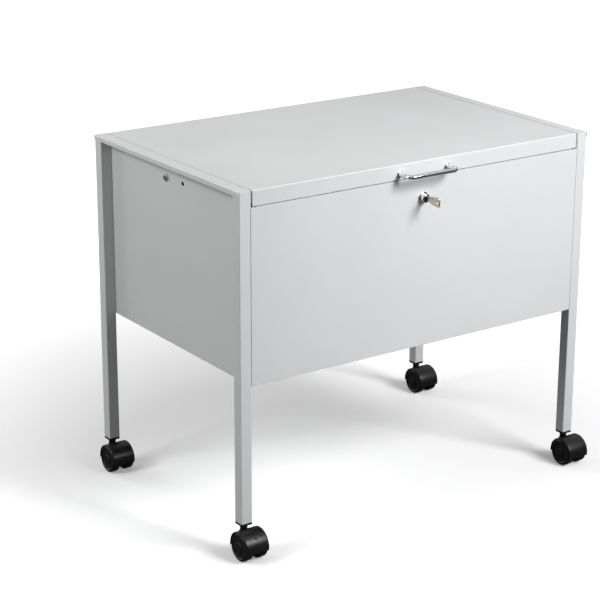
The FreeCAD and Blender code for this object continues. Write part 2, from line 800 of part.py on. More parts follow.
def hinge_pins():
    pins = []
    for middle in (-hinge_x(), hinge_x()):
        start = middle - hinge_width / 2 - knuckle_gap
        length = hinge_width + 2 * knuckle_gap
        pin = rod(hinge_pin_radius, length, (start, hinge_y, hinge_z), x_axis)
        left = rod(hinge_pin_head_radius, hinge_pin_head, (start - hinge_pin_head, hinge_y, hinge_z), x_axis)
        right = rod(hinge_pin_head_radius, hinge_pin_head, (start + length, hinge_y, hinge_z), x_axis)
        pins.append(joined([pin, left, right]))
    return Part.makeCompound(pins)


def hinge_screws(way):
    screws = []
    face_y = rear_y + hinge_leaf
    end_y = face_y + hinge_screw_head_height
    rounding = hinge_screw_head_height * head_rounding
    for x, z in hinge_screw_places(way):
        head = rod(hinge_screw_head_radius, hinge_screw_head_height, (x, face_y, z), y_axis)
        head = rounded(head, rounding, lambda edge: near(edge.BoundBox.YMin, end_y))
        shank_base = (x, face_y - hinge_screw_length, z)
        shank = rod(hinge_screw_radius, hinge_screw_length, shank_base, y_axis)
        screws.append(joined([head, shank]))
    return Part.makeCompound(screws)


# ---- castors, drawn with the stem's axis on the Z axis and the floor at zero

def castor_insert():
    half = leg_size / 2
    flange = block((-half, -half, insert_bottom_z), (half, half, castor_height))
    flange = rounded(flange, leg_corner, lambda edge: runs_along(edge, z_axis))
    plug_half = half - leg_wall - insert_gap
    plug_low = (-plug_half, -plug_half, castor_height)
    plug = block(plug_low, (plug_half, plug_half, castor_height + insert_depth))
    bore_length = insert_flange + stem_in_leg + overcut + swing_gap
    bore = rod(stem_radius + running_clearance, bore_length, (0, 0, insert_bottom_z - overcut), z_axis)
    return without(joined([flange, plug]), [bore])


def castor_stem():
    bottom = insert_bottom_z - swing_gap - stem_in_hood
    length = castor_height + stem_in_leg - bottom
    stem = rod(stem_radius, length, (0, 0, bottom), z_axis)
    return rounded(stem, stem_round, lambda edge: near(edge.BoundBox.ZMin, bottom + length))


def hood_opening_wedge():
    """What is left out of the hood between its rear and front ends, below the axle."""
    reach = 2 * hood_radius
    start = math.radians(hood_rear_angle)
    end = math.radians(hood_front_angle - 360)
    corners = [Vector(0, 0, 0)]
    for share in (0, 1 / 3, 2 / 3, 1):
        angle = start + (end - start) * share
        corners.append(Vector(0, reach * math.cos(angle), reach * math.sin(angle)))
    corners.append(corners[0])
    width = 2 * castor_half_width + 2 * overcut
    wedge = Part.Face(Part.makePolygon(corners)).extrude(Vector(width, 0, 0))
    return moved(wedge, -width / 2, -castor_trail, wheel_radius)


def castor_hood():
    width = 2 * castor_half_width
    axle_base = (-castor_half_width, -castor_trail, wheel_radius)
    drum = rod(hood_radius, width, axle_base, x_axis)
    drum = rounded(drum, hood_edge_round, lambda edge: near(abs(edge.BoundBox.Center.x), castor_half_width))
    drum = without(drum, [hood_opening_wedge()])
    web = rod(web_radius, hood_web, (-hood_web / 2, -castor_trail, wheel_radius), x_axis)
    neck_top = insert_bottom_z - swing_gap
    neck_bottom = neck_top - stem_in_hood - 2 * overcut
    neck = rod(neck_radius, neck_top - neck_bottom, (0, 0, neck_bottom), z_axis)
    body = joined([drum, web, neck])
    cutters = []
    for start in (hood_web / 2, -castor_half_width - overcut):
        base = (start, -castor_trail, wheel_radius)
        length = castor_half_width - hood_web / 2 + overcut
        cutters.append(rod(wheel_radius + hood_gap, length, base, x_axis))
    stem_base = (0, 0, neck_top - stem_in_hood)
    cutters.append(rod(stem_radius + press_clearance, stem_in_hood + overcut, stem_base, z_axis))
    cutters.append(rod(axle_radius + press_clearance, width, axle_base, x_axis))
    angle = math.radians(dimple_angle)
    outward = Vector(0, math.cos(angle), math.sin(angle))
    start = outward * (hood_radius - dimple_depth) + Vector(0, -castor_trail, wheel_radius)
    cutters.append(rod(dimple_radius, 2 * dimple_depth, tuple(start), outward))
    return without(body, cutters)


def castor_axle():
    half = castor_half_width - wheel_wall - swing_gap
    axle = rod(axle_radius, 2 * half, (-half, -castor_trail, wheel_radius), x_axis)
    ends = [edge for edge in axle.Edges if near(abs(edge.BoundBox.Center.x), half)]
    return axle.makeChamfer(axle_chamfer, ends)


def castor_wheel(side_x):
    centre = (wheel_inner_x, -castor_trail, wheel_radius)
    wheel = rod(wheel_radius, wheel_width, centre, x_axis)
    wheel = rounded(wheel, wheel_round, lambda edge: near(edge.BoundBox.XMax, edge.BoundBox.XMin))
    dish_x = castor_half_width - wheel_dish_depth
    ring = rod(wheel_dish_outer, wheel_dish_depth + overcut, (dish_x, -castor_trail, wheel_radius), x_axis)
    hub = rod(wheel_dish_inner, wheel_dish_depth + overcut, (dish_x, -castor_trail, wheel_radius), x_axis)
    bore_base = (wheel_inner_x - overcut, -castor_trail, wheel_radius)
    bore = rod(axle_radius + running_clearance, wheel_width - wheel_wall + overcut, bore_base, x_axis)
    wheel = without(wheel, [ring.cut(hub), bore])
    return wheel if side_x > 0 else mirrored_x(wheel)


def write(name, shape):
    shape.exportStep("parts/" + name + ".step")


def write_castors():
    pieces = {
        "insert": castor_insert(),
        "stem": castor_stem(),
        "hood": castor_hood(),
        "axle": castor_axle(),
        "wheel_left": castor_wheel(-1),
        "wheel_right": castor_wheel(1),
    }
    middle_x = half_width - leg_size / 2
    corners = {
        "front_left": (-middle_x, front_y + leg_size / 2),
        "front_right": (middle_x, front_y + leg_size / 2),
        "rear_left": (-middle_x, rear_y - leg_size / 2),
        "rear_right": (middle_x, rear_y - leg_size / 2),
    }
    for corner, (x, y) in corners.items():
        for piece, shape in pieces.items():
            write("castor_" + corner + "_" + piece, moved(shape, x, y, 0))


def build():
    os.makedirs("parts", exist_ok=True)
    for side, side_x in (("left", -1), ("right", 1)):
        write(side + "_side_panel", side_panel(side_x))
        write("stay_arm_" + side, stay_arm(side_x))
        write("hinge_box_leaf_" + side, hinge_leaf_piece(side_x * hinge_x(), -1))
        write("hinge_lid_leaf_" + side, hinge_leaf_piece(side_x * hinge_x(), 1))
        write("leg_front_" + side, leg(side_x, True))
        write("leg_rear_" + side, leg(side_x, False))
    write("front_panel", front_panel())
    write("rear_panel", rear_panel())
    write("bottom_panel", bottom_panel())
    write("lid", lid())
    write("lid_buffers", lid_buffers())
    write("leg_screws", leg_screws())
    write("bottom_screws", bottom_screws())
    write("handle", handle())
    write("handle_screws", handle_screws())
    write("lock_housing", lock_housing())
    write("lock_nut", lock_nut())
    write("lock_plug", lock_plug())
    write("lock_cam", cam())
    write("cam_screw", cam_screw())
    write("key", key())
    write("lock_keeper", lock_keeper())
    write("stay_bolts", stay_bolts())
    write("stay_nuts", stay_nuts())
    write("stay_rivets", stay_rivets())
    write("hinge_pins", hinge_pins())
    write("hinge_screws_box", hinge_screws(-1))
    write("hinge_screws_lid", hinge_screws(1))
    write_castors()


build()
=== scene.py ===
import bmesh
import bpy
import math
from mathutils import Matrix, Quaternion, Vector


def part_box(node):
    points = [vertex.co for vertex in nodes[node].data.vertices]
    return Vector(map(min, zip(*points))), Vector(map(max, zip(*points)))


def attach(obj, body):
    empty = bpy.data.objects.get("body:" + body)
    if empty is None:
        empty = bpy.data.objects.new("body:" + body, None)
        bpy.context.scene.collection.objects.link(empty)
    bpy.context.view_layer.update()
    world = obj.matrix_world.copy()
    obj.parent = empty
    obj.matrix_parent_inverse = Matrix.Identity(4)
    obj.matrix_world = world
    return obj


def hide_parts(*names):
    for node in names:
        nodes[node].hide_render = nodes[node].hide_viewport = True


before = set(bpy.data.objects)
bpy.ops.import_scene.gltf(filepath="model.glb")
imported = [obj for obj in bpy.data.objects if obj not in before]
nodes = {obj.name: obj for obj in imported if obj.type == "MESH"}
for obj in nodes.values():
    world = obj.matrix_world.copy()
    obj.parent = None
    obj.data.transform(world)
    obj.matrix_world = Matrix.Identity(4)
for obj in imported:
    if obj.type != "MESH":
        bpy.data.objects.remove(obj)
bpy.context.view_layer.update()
print("frame loaded:", len(nodes), "nodes")

mm = 0.001
view = bpy.context.scene.view_settings
view.view_transform = "Standard"
view.look = "None"


# the camera looks at the trolley's front left corner from a little above
cameraSetup = {
    "place": (-1.8305, -2.5027, 1.3506),
    "azimuth": 34.697,  # degrees turned to the right of straight back
    "elevation": 18.551,  # degrees down
    "roll": 0.169,
    "lens": 113.7,
    "sensor": 36.0,
    "clipEnd": 100.0,
}


def makeCamera(setup):
    data = bpy.data.cameras.new("camera")
    data.lens = setup["lens"]
    data.sensor_width = setup["sensor"]
    data.clip_end = setup["clipEnd"]
    camera = bpy.data.objects.new("camera", data)
    bpy.context.scene.collection.objects.link(camera)
    azimuth = math.radians(setup["azimuth"])
    elevation = math.radians(setup["elevation"])
    ahead = Vector((math.sin(azimuth) * math.cos(elevation), math.cos(azimuth) * math.cos(elevation),
                    -math.sin(elevation)))
    camera.location = setup["place"]
    camera.rotation_mode = "QUATERNION"
    roll = Quaternion((0.0, 0.0, 1.0), math.radians(setup["roll"]))
    camera.rotation_quaternion = ahead.to_track_quat("-Z", "Y") @ roll
    bpy.context.scene.camera = camera


makeCamera(cameraSetup)
print("camera placed")


# a node with its settings, its inputs given as sockets to link or as plain values
def addNode(tree, kind, inputs=None, **settings):
    node = tree.nodes.new(kind)
    node.location = (180 * len(tree.nodes), -40 * (len(tree.nodes) % 5))
    for key, value in settings.items():
        setattr(node, key, value)
    for key, value in (inputs or {}).items():
        if isinstance(value, bpy.types.NodeSocket):
            tree.links.new(value, node.inputs[key])
        else:
            node.inputs[key].default_value = value
    return node


def newGroup(name, inputs, outputs):
    group = bpy.data.node_groups.new(name, "ShaderNodeTree")
    for label, value in inputs.items():
        socket = group.interface.new_socket(label, in_out="INPUT", socket_type="NodeSocketFloat")
        socket.default_value = value
    for label in outputs:
        group.interface.new_socket(label, in_out="OUTPUT", socket_type="NodeSocketFloat")
    return group, group.nodes.new("NodeGroupInput"), group.nodes.new("NodeGroupOutput")


def mathNode(tree, operation, first, second=0.0, clamp=False):
    node = addNode(tree, "ShaderNodeMath", {0: first, 1: second}, operation=operation, use_clamp=clamp)
    return node.outputs[0]


def remap(tree, value, fromLow, fromHigh, toLow, toHigh):
    sockets = {"Value": value, "From Min": fromLow, "From Max": fromHigh, "To Min": toLow, "To Max": toHigh}
    return addNode(tree, "ShaderNodeMapRange", sockets).outputs["Result"]


# soft ripple of a sprayed or moulded skin, with a fine grain on it, and a slow mottle over the whole panel
def makeSkinRipple():
    inputs = {"Ripple Scale": 700.0, "Grain Scale": 4000.0, "Grain Share": 0.3, "Mottle Scale": 9.0}
    group, start, end = newGroup("skinRipple", inputs, ["Height", "Mottle"])
    place = addNode(group, "ShaderNodeTexCoord").outputs["Object"]
    ripple = addNode(group, "ShaderNodeTexNoise", {"Vector": place, "Scale": start.outputs["Ripple Scale"],
                                                   "Detail": 1.5, "Roughness": 0.45})
    grain = addNode(group, "ShaderNodeTexNoise", {"Vector": place, "Scale": start.outputs["Grain Scale"],
                                                  "Detail": 2.0, "Roughness": 0.6})
    weighted = mathNode(group, "MULTIPLY", grain.outputs["Fac"], start.outputs["Grain Share"])
    group.links.new(mathNode(group, "ADD", ripple.outputs["Fac"], weighted), end.inputs["Height"])
    mottle = addNode(group, "ShaderNodeTexNoise", {"Vector": place, "Scale": start.outputs["Mottle Scale"],
                                                   "Detail": 4.0, "Roughness": 0.55})
    group.links.new(remap(group, mottle.outputs["Fac"], 0.3, 0.7, 0.0, 1.0), end.inputs["Mottle"])
    return group


# hairline scratches: two sets of long thin streaks, the second turned across the first
def makeHairlines():
    inputs = {"Scale": 60.0, "Stretch": 18.0, "Coverage": 0.3}
    group, start, end = newGroup("hairlines", inputs, ["Mask", "Height"])
    place = addNode(group, "ShaderNodeTexCoord").outputs["Object"]
    stretch = addNode(group, "ShaderNodeCombineXYZ", {"X": 1.0, "Y": start.outputs["Stretch"],
                                                      "Z": start.outputs["Stretch"]})
    eased = mathNode(group, "MULTIPLY", start.outputs["Coverage"], 0.3)
    limit = mathNode(group, "SUBTRACT", 0.78, eased)  # more coverage lets weaker streaks through
    masks = []
    for turn in ((0.3, 0.5, 0.2), (1.1, -0.4, 1.7)):
        turned = addNode(group, "ShaderNodeVectorRotate", {"Vector": place, "Rotation": turn},
                         rotation_type="EULER_XYZ")
        shaped = addNode(group, "ShaderNodeVectorMath", {0: turned.outputs[0], 1: stretch.outputs[0]},
                         operation="MULTIPLY")
        streaks = addNode(group, "ShaderNodeTexNoise", {"Vector": shaped.outputs[0],
                                                        "Scale": start.outputs["Scale"], "Detail": 3.0})
        over = mathNode(group, "SUBTRACT", streaks.outputs["Fac"], limit)
        masks.append(mathNode(group, "MULTIPLY", over, 9.0, clamp=True))
    both = mathNode(group, "MAXIMUM", masks[0], masks[1])
    group.links.new(both, end.inputs["Mask"])
    group.links.new(mathNode(group, "MULTIPLY", both, -1.0), end.inputs["Height"])
    return group


# rubs and marks between two heights above the floor, where shoes and cleaning reach
def makeLowRubs():
    inputs = {"Full Below": 0.08, "Gone Above": 0.22, "Scale": 45.0, "Amount": 0.5}
    group, start, end = newGroup("lowRubs", inputs, ["Mask"])
    place = addNode(group, "ShaderNodeTexCoord").outputs["Object"]
    height = addNode(group, "ShaderNodeSeparateXYZ", {"Vector": place}).outputs["Z"]
    low = remap(group, height, start.outputs["Full Below"], start.outputs["Gone Above"], 1.0, 0.0)
    marks = addNode(group, "ShaderNodeTexNoise", {"Vector": place, "Scale": start.outputs["Scale"],
                                                  "Detail": 6.0, "Roughness": 0.7})
    patches = remap(group, marks.outputs["Fac"], 0.52, 0.66, 0.0, 1.0)
    both = mathNode(group, "MULTIPLY", low, patches)
    group.links.new(mathNode(group, "MULTIPLY", both, start.outputs["Amount"]), end.inputs["Mask"])
    return group


# thin dust on whatever faces up
def makeSettledDust():
    group, start, end = newGroup("settledDust", {"Scale": 30.0, "Amount": 0.3}, ["Mask"])
    facing = addNode(group, "ShaderNodeNewGeometry").outputs["Normal"]
    upward = addNode(group, "ShaderNodeSeparateXYZ", {"Vector": facing}).outputs["Z"]
    flat = remap(group, upward, 0.35, 0.95, 0.0, 1.0)
    place = addNode(group, "ShaderNodeTexCoord").outputs["Object"]
    drift = addNode(group, "ShaderNodeTexNoise", {"Vector": place, "Scale": start.outputs["Scale"],
                                                  "Detail": 5.0, "Roughness": 0.65})
    patches = remap(group, drift.outputs["Fac"], 0.35, 0.75, 0.2, 1.0)
    both = mathNode(group, "MULTIPLY", flat, patches)
    group.links.new(mathNode(group, "MULTIPLY", both, start.outputs["Amount"]), end.inputs["Mask"])
    return group


skinRipple = makeSkinRipple()
hairlines = makeHairlines()
lowRubs = makeLowRubs()
settledDust = makeSettledDust()
print("shared effects built")


# an empty finish; values that are the same all over go straight on its shader
def startFinish(name, values):
    finish = bpy.data.materials.new(name)
    finish.use_nodes = True
    tree = finish.node_tree
    tree.nodes.clear()
    output = tree.nodes.new("ShaderNodeOutputMaterial")
    shader = tree.nodes.new("ShaderNodeBsdfPrincipled")
    tree.links.new(shader.outputs[0], output.inputs["Surface"])
    for label, value in values.items():
        shader.inputs[label].default_value = value
    return finish, tree, shader


def placeGroup(tree, group, values):
    node = addNode(tree, "ShaderNodeGroup", node_tree=group)
    for label, value in values.items():
        node.inputs[label].default_value = value
    return node


def blended(tree, mask, plain, marked):
    node = addNode(tree, "ShaderNodeMix", data_type="RGBA")
    tree.links.new(mask, node.inputs["Factor"])
    for socket, value in ((node.inputs["A"], plain), (node.inputs["B"], marked)):
        if isinstance(value, bpy.types.NodeSocket):
            tree.links.new(value, socket)
        else:
            socket.default_value = value
    return node.outputs["Result"]


def bumped(tree, shader, height, distance):
    bump = addNode(tree, "ShaderNodeBump", {"Height": height, "Distance": distance, "Strength": 1.0})
    tree.links.new(bump.outputs["Normal"], shader.inputs["Normal"])


def raised(tree, value, mask, amount):
    return mathNode(tree, "ADD", value, mathNode(tree, "MULTIPLY", mask, amount), clamp=True)


powderCoat = {
    "color": (0.575, 0.585, 0.585, 1.0),
    "mottledColor": (0.592, 0.600, 0.600, 1.0),
    "rubbedColor": (0.40, 0.40, 0.39, 1.0),
    "dustColor": (0.62, 0.61, 0.59, 1.0),
    "roughness": (0.40, 0.48),
    "rubbedRoughness": 0.3,  # added where the coat is rubbed
    "dustRoughness": 0.5,
    "rippleDepth": 0.05 * mm,
    "skin": {"Ripple Scale": 520.0, "Grain Scale": 3800.0, "Grain Share": 0.35, "Mottle Scale": 7.0},
    "rubs": {"Full Below": 0.07, "Gone Above": 0.16, "Scale": 70.0, "Amount": 0.22},
    "dust": {"Scale": 26.0, "Amount": 0.10},
}


def makePowderCoat(look):
    finish, tree, shader = startFinish("powderCoat", {"Specular IOR Level": 0.42})
    skin = placeGroup(tree, skinRipple, look["skin"])
    rubs = placeGroup(tree, lowRubs, look["rubs"])
    dust = placeGroup(tree, settledDust, look["dust"])
    color = blended(tree, skin.outputs["Mottle"], look["color"], look["mottledColor"])
    color = blended(tree, rubs.outputs["Mask"], color, look["rubbedColor"])
    color = blended(tree, dust.outputs["Mask"], color, look["dustColor"])
    tree.links.new(color, shader.inputs["Base Color"])
    rough = remap(tree, skin.outputs["Mottle"], 0.0, 1.0, *look["roughness"])
    rough = raised(tree, rough, rubs.outputs["Mask"], look["rubbedRoughness"])
    rough = raised(tree, rough, dust.outputs["Mask"], look["dustRoughness"])
    tree.links.new(rough, shader.inputs["Roughness"])
    bumped(tree, shader, skin.outputs["Height"], look["rippleDepth"])
    return finish


chromePlate = {
    "color": (0.84, 0.845, 0.85, 1.0),
    "hazedColor": (0.70, 0.705, 0.71, 1.0),
    "roughness": (0.045, 0.11),
    "scratchDepth": 0.004 * mm,
    "hazeScale": 40.0,
    "lineScale": 70.0,
    "coverage": 0.12,
}
zincPlate = {
    "color": (0.56, 0.57, 0.58, 1.0),
    "hazedColor": (0.43, 0.43, 0.42, 1.0),
    "roughness": (0.26, 0.42),
    "scratchDepth": 0.010 * mm,
    "hazeScale": 160.0,
    "lineScale": 90.0,
    "coverage": 0.35,
}
nickelSilver = {
    "color": (0.66, 0.575, 0.475, 1.0),
    "hazedColor": (0.50, 0.43, 0.355, 1.0),
    "roughness": (0.24, 0.38),
    "scratchDepth": 0.012 * mm,
    "hazeScale": 120.0,
    "lineScale": 120.0,
    "coverage": 0.45,
}
# the lock plug's chrome, painted dark: this darker copy of the chrome stands in for the dark reflections on
# the plug's face
shadedPlugChrome = {
    "color": (0.20, 0.19, 0.185, 1.0),
    "hazedColor": (0.12, 0.11, 0.105, 1.0),
    "roughness": (0.22, 0.34),
    "scratchDepth": 0.010 * mm,
    "hazeScale": 150.0,
    "lineScale": 120.0,
    "coverage": 0.3,
}


# bare or plated metal: haze in slow patches, hairlines across it
def makeMetal(name, look):
    finish, tree, shader = startFinish(name, {"Metallic": 1.0})
    haze = placeGroup(tree, skinRipple, {"Mottle Scale": look["hazeScale"]})
    lines = placeGroup(tree, hairlines, {"Scale": look["lineScale"], "Stretch": 16.0,
                                         "Coverage": look["coverage"]})
    color = blended(tree, haze.outputs["Mottle"], look["color"], look["hazedColor"])
    tree.links.new(color, shader.inputs["Base Color"])
    rough = remap(tree, haze.outputs["Mottle"], 0.0, 1.0, *look["roughness"])
    tree.links.new(raised(tree, rough, lines.outputs["Mask"], 0.12), shader.inputs["Roughness"])
    bumped(tree, shader, lines.outputs["Height"], look["scratchDepth"])
    return finish


mouldedNylon = {
    "color": (0.0042, 0.0042, 0.0048, 1.0),
    "mottledColor": (0.0065, 0.0065, 0.0072, 1.0),
    "dustColor": (0.030, 0.030, 0.029, 1.0),
    "roughness": (0.30, 0.40),
    "grainDepth": 0.035 * mm,
    "grainScale": 1700.0,
    "dustAmount": 0.10,
    "scuffs": 0.10,
}
wheelTread = {
    "color": (0.0030, 0.0030, 0.0034, 1.0),
    "mottledColor": (0.0052, 0.0052, 0.0056, 1.0),
    "dustColor": (0.026, 0.025, 0.024, 1.0),
    "roughness": (0.40, 0.55),
    "grainDepth": 0.030 * mm,
    "grainScale": 1400.0,
    "dustAmount": 0.08,
    "scuffs": 0.20,
}
lidBuffer = {
    "color": (0.022, 0.022, 0.022, 1.0),
    "mottledColor": (0.034, 0.034, 0.033, 1.0),
    "dustColor": (0.09, 0.088, 0.085, 1.0),
    "roughness": (0.62, 0.78),
    "grainDepth": 0.04 * mm,
    "grainScale": 1100.0,
    "dustAmount": 0.30,
    "scuffs": 0.05,
}


# black mouldings: fine spark-eroded grain, a little scuffing and dust
def makeMoulding(name, look):
    finish, tree, shader = startFinish(name, {"Specular IOR Level": 0.30})
    coarse, fine = look["grainScale"], look["grainScale"] * 3
    skin = placeGroup(tree, skinRipple, {"Ripple Scale": coarse, "Grain Scale": fine, "Grain Share": 0.6,
                                         "Mottle Scale": 60.0})
    dust = placeGroup(tree, settledDust, {"Scale": 90.0, "Amount": look["dustAmount"]})
    lines = placeGroup(tree, hairlines, {"Scale": 110.0, "Stretch": 12.0, "Coverage": look["scuffs"]})
    color = blended(tree, skin.outputs["Mottle"], look["color"], look["mottledColor"])
    faded = mathNode(tree, "MULTIPLY", lines.outputs["Mask"], 0.25)
    color = blended(tree, faded, color, look["dustColor"])
    color = blended(tree, dust.outputs["Mask"], color, look["dustColor"])
    tree.links.new(color, shader.inputs["Base Color"])
    rough = remap(tree, skin.outputs["Mottle"], 0.0, 1.0, *look["roughness"])
    tree.links.new(raised(tree, rough, lines.outputs["Mask"], 0.15), shader.inputs["Roughness"])
    bumped(tree, shader, skin.outputs["Height"], look["grainDepth"])
    return finish


finishes = {
    "cabinet_paint": makePowderCoat(powderCoat),
    "chrome": makeMetal("chromePlate", chromePlate),
    "zinc_steel": makeMetal("zincPlate", zincPlate),
    "key_metal": makeMetal("nickelSilver", nickelSilver),
    "castor_plastic": makeMoulding("mouldedNylon", mouldedNylon),
    "wheel_plastic": makeMoulding("wheelTread", wheelTread),
    "buffer_rubber": makeMoulding("lidBuffer", lidBuffer),
}
shadedPlugFinish = makeMetal("shadedPlugChrome", shadedPlugChrome)
print("finishes made:", len(finishes) + 1)


# frame pieces keep their shape: each slot gets its finish, and folded and cut edges are softened
softEdges = {
    "width": 0.35 * mm,
    "angle": 32.0,  # degrees
    "segments": 2,
    "weld": 0.004 * mm,
    "faceWeight": 60,
}


def softenEdges(piece, setup):
    weld = piece.modifiers.new("weld", "WELD")
    weld.merge_threshold = setup["weld"]
    bevel = piece.modifiers.new("softEdge", "BEVEL")
    bevel.width = setup["width"]
    bevel.segments = setup["segments"]
    bevel.limit_method = "ANGLE"
    bevel.angle_limit = math.radians(setup["angle"])
    bevel.use_clamp_overlap = True
    bevel.harden_normals = False
    shading = piece.modifiers.new("evenShading", "WEIGHTED_NORMAL")
    shading.keep_sharp = False
    shading.weight = setup["faceWeight"]


# the side panels stay crisp, because softening draws a shading line across their wide faces
softenedNodes = ["front_panel", "rear_panel", "bottom_panel", "lid",
                 "leg_front_left", "leg_front_right", "leg_rear_left", "leg_rear_right"]
for name, node in nodes.items():
    for slot in node.material_slots:
        slot.material = finishes[slot.material.name.split(".")[0]]
    if name in softenedNodes:
        softenEdges(node, softEdges)
# the lock plug gets the painted-dark copy of the chrome in place of its own chrome slot
nodes["lock_plug"].material_slots[0].material = shadedPlugFinish
print("frame pieces finished:", len(softenedNodes), "softened")


acrossAxis = Vector((1.0, 0.0, 0.0))
backAxis = Vector((0.0, 1.0, 0.0))
upAxis = Vector((0.0, 0.0, 1.0))
creaseAngle = math.radians(38.0)  # sharper edges than this stay sharp
edgeSegments = 3


# hangs a new piece on its body, in place of the plain one
def addPiece(name, mesh, slotName, body, replaced, edge=0.0):
    mesh.shade_smooth()
    mesh.set_sharp_from_angle(angle=creaseAngle)
    piece = bpy.data.objects.new(name, mesh)
    bpy.context.scene.collection.objects.link(piece)
    mesh.materials.append(finishes[slotName])
    if edge:
        bevel = piece.modifiers.new("softEdge", "BEVEL")
        bevel.width = edge
        bevel.segments = edgeSegments
        bevel.limit_method = "ANGLE"
        bevel.angle_limit = creaseAngle
        bevel.harden_normals = True
    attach(piece, body)
    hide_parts(*replaced)


def meshFrom(name, build, *values):
    work = bmesh.new()
    build(work, *values)
    bmesh.ops.recalc_face_normals(work, faces=work.faces)
    mesh = bpy.data.meshes.new(name)
    work.to_mesh(mesh)
    work.free()
    return mesh


# points with their corners rounded off, each corner by its own radius
def roundCorners(points, radii, steps, closed):
    softened = []
    count = len(points)
    for index, point in enumerate(points):
        radius = radii[index]
        if radius <= 0.0 or (not closed and index in (0, count - 1)):
            softened.append(point)
            continue
        before = (points[index - 1] - point).normalized()
        after = (points[(index + 1) % count] - point).normalized()
        half = before.angle(after) / 2
        cut = radius / math.tan(half)
        middle = point + (before + after).normalized() * (radius / math.sin(half))
        startArm = point + before * cut - middle
        endArm = point + after * cut - middle
        for step in range(steps + 1):
            arm = startArm.normalized().slerp(endArm.normalized(), step / steps) * radius
            softened.append(middle + arm)
    return softened


# an open outline to turn, from corners given as (along the axle, out from it, rounding)
def roundedOutline(corners, steps):
    points = [Vector((along, out, 0.0)) for along, out, rounding in corners]
    radii = [rounding for along, out, rounding in corners]
    return [(point.x, point.y) for point in roundCorners(points, radii, steps, False)]


# turns a closed outline about an axle from the first angle to the last, and closes both ends
def turnOutline(work, outline, centre, along, zero, angles):
    side = along.cross(zero)
    rings = []
    for angle in angles:
        out = zero * math.cos(angle) + side * math.sin(angle)
        rings.append([work.verts.new(centre + along * a + out * r) for a, r in outline])
    skinRings(work, rings)


# walls between rings of equal counts, with the first and last ring filled
def skinRings(work, rings):
    count = len(rings[0])
    for ring, following in zip(rings, rings[1:]):
        for step in range(count):
            nextStep = (step + 1) % count
            work.faces.new((ring[step], ring[nextStep], following[nextStep], following[step]))
    work.faces.new(rings[0])
    work.faces.new(list(reversed(rings[-1])))


# turns an open outline that starts and ends on the axle
def turnSolid(work, outline, centre, along, zero, count):
    side = along.cross(zero)
    tips = (work.verts.new(centre + along * outline[0][0]), work.verts.new(centre + along * outline[-1][0]))
    rings = []
    for a, r in outline[1:-1]:
        ring = []
        for step in range(count):
            angle = 2 * math.pi * step / count
            out = zero * math.cos(angle) + side * math.sin(angle)
            ring.append(work.verts.new(centre + along * a + out * r))
        rings.append(ring)
    for step in range(count):
        nextStep = (step + 1) % count
        work.faces.new((tips[0], rings[0][step], rings[0][nextStep]))
        for ring, following in zip(rings, rings[1:]):
            work.faces.new((ring[step], following[step], following[nextStep], ring[nextStep]))
        work.faces.new((tips[1], rings[-1][nextStep], rings[-1][step]))


# castor hood: a shell over both wheels, a web between them, and a neck that takes the stem
castor = {
    "hoodRadius": 26.2 * mm,
    "hoodInside": 24.0 * mm,
    "hoodEnds": (-8.0, 191.0),  # degrees from straight back, over the top
    "hoodSteps": 60,
    "edgeRound": 1.9 * mm,
    "roundSteps": 5,
    "softEdge": 0.4 * mm,
    "webHalf": 6.0 * mm,
    "webRadius": 17.0 * mm,
    "webInset": 0.02 * mm,  # keeps the lower web's sides off the upper web's
    "webSteps": 36,
    "axleHole": 3.05 * mm,
    "neckRadius": 6.0 * mm,
    "neckEdge": 0.5 * mm,
    "neckRoot": 7.5 * mm,  # how deep the neck goes below the crown
    "neckTaper": 0.3 * mm,
    "neckFlare": 2.2 * mm,
    "flareReach": 1.2,  # height of the flare each side of the crown, in flares
    "flareSteps": 8,
    "neckSegments": 48,
    "dimpleAngle": 137.0,  # degrees from straight back, over the top
    "dimpleRadius": 1.7 * mm,
    "dimpleDepth": 1.3 * mm,
    "dimpleWall": 2.2,  # how steeply its side falls
    "dimpleSteps": 6,  # finer mesh each side of the dimple
    "dimpleAcross": 0.45 * mm,
    "dimpleAround": 0.95,  # degrees
    "dimplePatch": 7.0,  # degrees each side that the coarse mesh leaves free
}


def castorPlaces(corner):
    wheelLow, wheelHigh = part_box("castor_" + corner + "_wheel_right")
    stemLow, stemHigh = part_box("castor_" + corner + "_stem")
    stem = (stemLow + stemHigh) / 2
    axle = Vector((stem.x, (wheelLow.y + wheelHigh.y) / 2, (wheelLow.z + wheelHigh.z) / 2))
    return {
        "stem": stem,
        "axle": axle,
        "wheelRadius": (wheelHigh.y - wheelLow.y) / 2,
        "outer": wheelHigh.x - axle.x,
        "inner": wheelLow.x - axle.x,
    }


def fineSteps(setup):
    return range(-setup["dimpleSteps"], setup["dimpleSteps"] + 1)


# section of the hood across its width
def hoodOutline(setup, halfWidth):
    inside, outside = setup["hoodInside"], setup["hoodRadius"]
    shell = roundedOutline([
        (-halfWidth, inside, 0.0),
        (-halfWidth, outside, setup["edgeRound"]),
        (halfWidth, outside, setup["edgeRound"]),
        (halfWidth, inside, 0.0),
    ], setup["roundSteps"])
    middle = next(i for i in range(len(shell) - 1) if shell[i][0] < 0 < shell[i + 1][0]) + 1
    shell[middle:middle] = [(step * setup["dimpleAcross"], outside) for step in fineSteps(setup)]
    web, hole = setup["webHalf"], setup["axleHole"]
    return shell + [(web, inside), (web, hole), (-web, hole), (-web, inside)]


def hoodAngles(setup):
    first, last = setup["hoodEnds"]
    steps = setup["hoodSteps"]
    coarse = [first + (last - first) * step / steps for step in range(steps + 1)]
    kept = [angle for angle in coarse if abs(angle - setup["dimpleAngle"]) > setup["dimplePatch"]]
    fine = [setup["dimpleAngle"] + step * setup["dimpleAround"] for step in fineSteps(setup)]
    return [math.radians(angle) for angle in sorted(kept + fine)]


